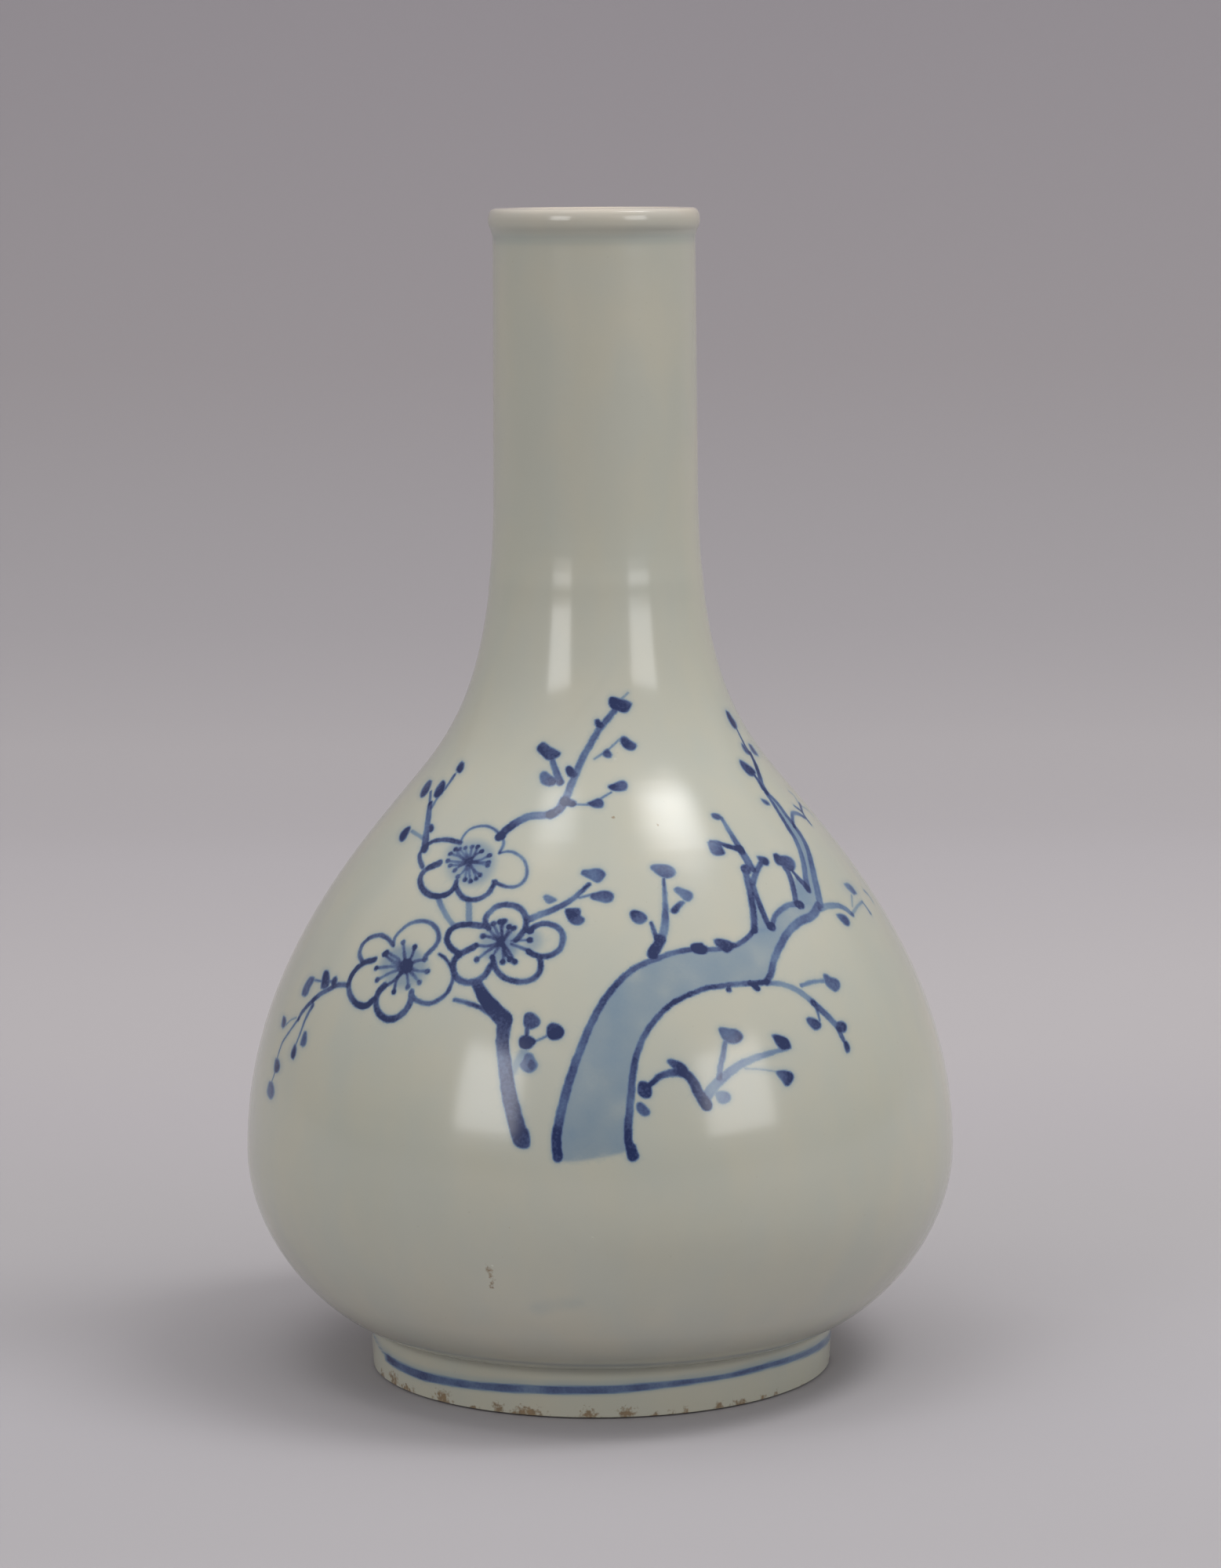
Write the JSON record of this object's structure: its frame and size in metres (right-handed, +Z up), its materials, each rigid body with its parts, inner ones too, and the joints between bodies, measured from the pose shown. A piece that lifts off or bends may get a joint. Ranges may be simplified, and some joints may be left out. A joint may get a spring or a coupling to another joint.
{
  "type": "porcelain bottle vase",
  "caption": "Free-standing blue-and-white porcelain bottle vase: a pear-shaped body with a low belly, a tall narrow neck, a rolled lip and a low foot ring, for a branch or a few stems.",
  "frame": {"origin": "middle of the foot ring's underside, on the surface that the vase stands on", "axes": "+Z up along the axis of the neck, towards the mouth; -Y towards the painted front that the picture shows, +X to its right"},
  "size_m": [0.1716, 0.1716, 0.28],
  "materials": {
    "painted_glaze": "clear bluish-grey glaze over white porcelain with underglaze cobalt painting",
    "plain_glaze": "clear bluish-grey glaze over white porcelain, unpainted",
    "bare_foot_clay": "unglazed fired clay, browned in the kiln, with fused sand grains",
    "porcelain_clay": "fired white porcelain body under the glaze",
    "dried_slip": "fired porcelain slip in the luted joints"
  },
  "bodies": {
    "root": {"foot_ring": "bare_foot_clay", "foot_seam": "dried_slip", "lower_body": "porcelain_clay", "belly_seam": "dried_slip", "upper_body": "porcelain_clay", "neck_seam": "dried_slip", "neck": "porcelain_clay", "lip": "porcelain_clay", "outer_glaze": "painted_glaze", "inner_glaze": "plain_glaze", "base_glaze": "plain_glaze"}
  },
  "joints": []
}
